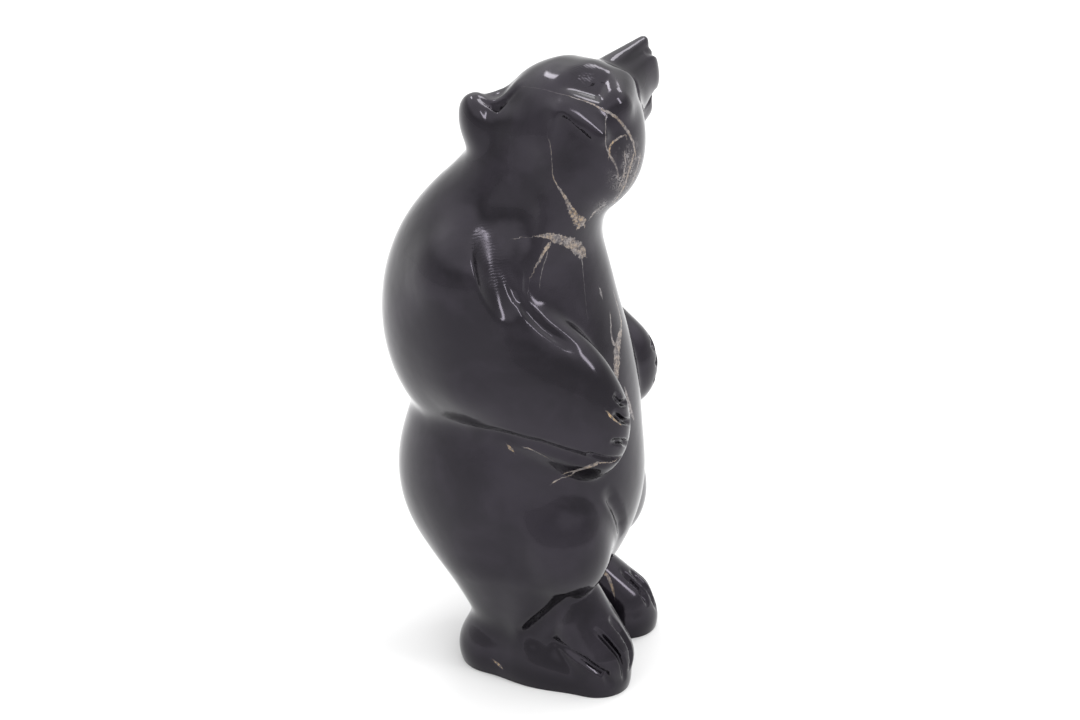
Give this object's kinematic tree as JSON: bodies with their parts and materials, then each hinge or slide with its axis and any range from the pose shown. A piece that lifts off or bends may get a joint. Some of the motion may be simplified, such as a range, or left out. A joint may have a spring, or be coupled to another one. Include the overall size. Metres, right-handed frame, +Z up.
{
  "type": "septarian stone bear carving",
  "caption": "Standing bear carved from one piece of dark veined stone, head raised and turned to its left, forelegs across the belly, flat underside.",
  "frame": {"origin": "on the flat underside, below the middle of the body", "axes": "+Z up; the bear's chest and toes face -Y; its right side is towards -X"},
  "size_m": [0.1002, 0.1089, 0.25],
  "materials": {
    "stone": "polished dark septarian stone with pale and golden calcite veins"
  },
  "bodies": {
    "root": {"bear_carving": "stone"}
  },
  "joints": []
}
